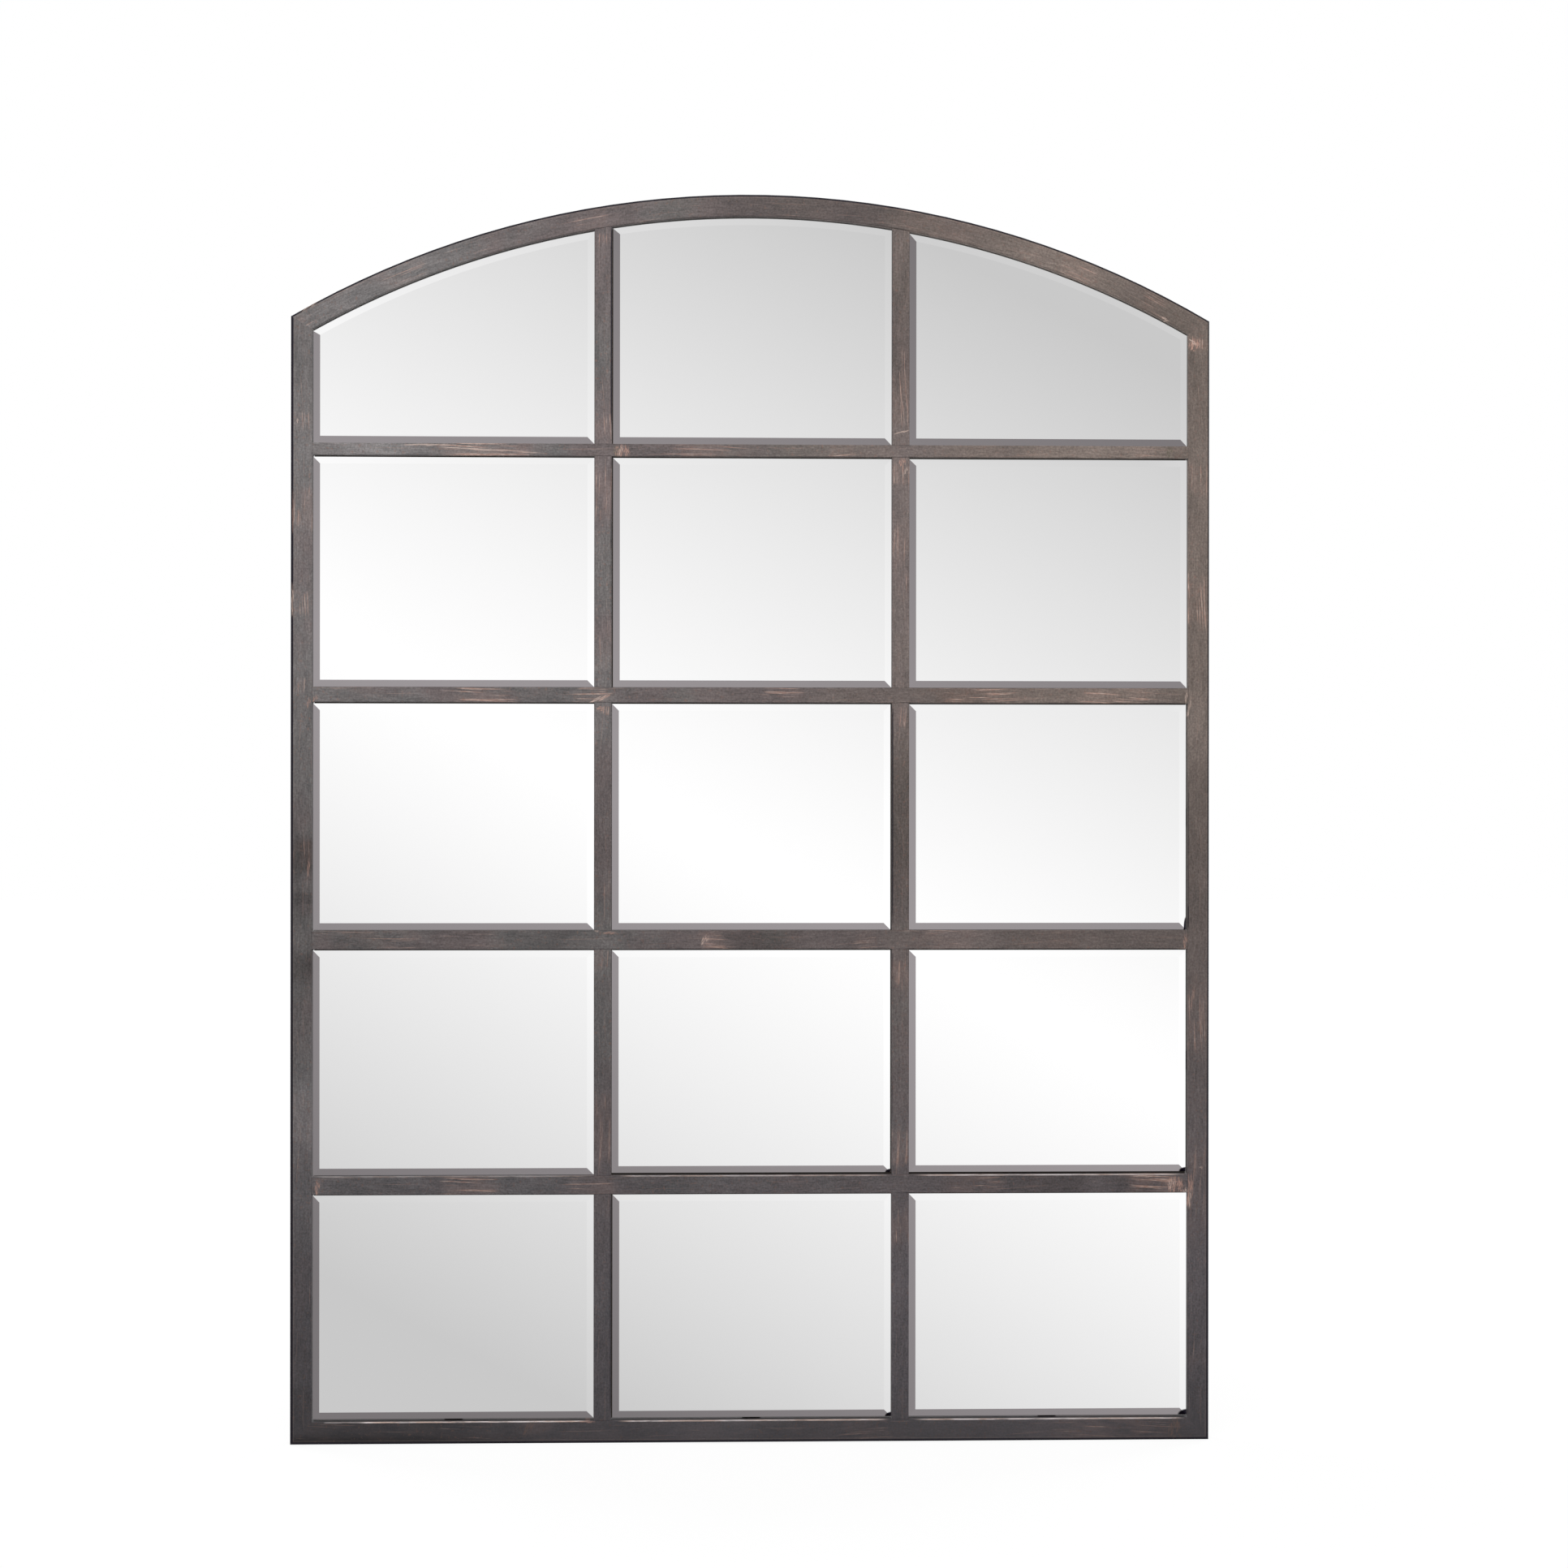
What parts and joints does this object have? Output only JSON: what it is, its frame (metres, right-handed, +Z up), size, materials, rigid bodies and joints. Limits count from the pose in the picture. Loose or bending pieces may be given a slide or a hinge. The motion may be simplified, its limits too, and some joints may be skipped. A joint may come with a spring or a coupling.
{
  "type": "arched window mirror",
  "caption": "Arched wall mirror made like an old window: a welded bronze tube frame with glazing bars, a separate bevelled mirror in each cell, hung on D-rings.",
  "frame": {"origin": "middle of the underside of the bottom rail's width, halfway between the frame's front and the tips of the wall bumpers", "axes": "+X to the viewer's right, +Y back to the wall, +Z up"},
  "size_m": [1.118, 0.034, 1.5179],
  "materials": {
    "frame_bronze": "aged dark bronze paint, brushed along each bar, rubbed to copper at joints and arrises",
    "mirror_glass": "clear silvered mirror, polished bevel",
    "board": "black-faced hardboard",
    "foam_tape": "closed-cell foam",
    "zinc_steel": "bright zinc plate",
    "bumper_rubber": "matt"
  },
  "bodies": {
    "root": {"backing_board": "board", "board_screws": "zinc_steel", "board_tabs": "frame_bronze", "corner_welds": "frame_bronze", "crossbar_1": "frame_bronze", "crossbar_2": "frame_bronze", "crossbar_3": "frame_bronze", "crossbar_4": "frame_bronze", "hanger_screws": "zinc_steel", "hanger_strap_left": "zinc_steel", "hanger_strap_right": "zinc_steel", "head_arch": "frame_bronze", "mounting_tape": "foam_tape", "mullion_left_1": "frame_bronze", "mullion_left_2": "frame_bronze", "mullion_left_3": "frame_bronze", "mullion_left_4": "frame_bronze", "mullion_left_5": "frame_bronze", "mullion_right_1": "frame_bronze", "mullion_right_2": "frame_bronze", "mullion_right_3": "frame_bronze", "mullion_right_4": "frame_bronze", "mullion_right_5": "frame_bronze", "pane_1_1": "mirror_glass", "pane_1_2": "mirror_glass", "pane_1_3": "mirror_glass", "pane_2_1": "mirror_glass", "pane_2_2": "mirror_glass", "pane_2_3": "mirror_glass", "pane_3_1": "mirror_glass", "pane_3_2": "mirror_glass", "pane_3_3": "mirror_glass", "pane_4_1": "mirror_glass", "pane_4_2": "mirror_glass", "pane_4_3": "mirror_glass", "pane_5_1": "mirror_glass", "pane_5_2": "mirror_glass", "pane_5_3": "mirror_glass", "rail_bottom": "frame_bronze", "stile_left": "frame_bronze", "stile_right": "frame_bronze", "wall_bumpers": "bumper_rubber"},
    "ring_left": {"hanger_ring_left": "zinc_steel"},
    "ring_right": {"hanger_ring_right": "zinc_steel"}
  },
  "joints": [
    {"name": "ring_left_swing", "type": "hinge", "parent": "root", "child": "ring_left", "pos_m": [-0.546, 0.01175, 1.15], "axis": [1, 0, 0], "range_deg": [0, 180]},
    {"name": "ring_right_swing", "type": "hinge", "parent": "root", "child": "ring_right", "pos_m": [0.546, 0.01175, 1.15], "axis": [1, 0, 0], "range_deg": [0, 180]}
  ]
}
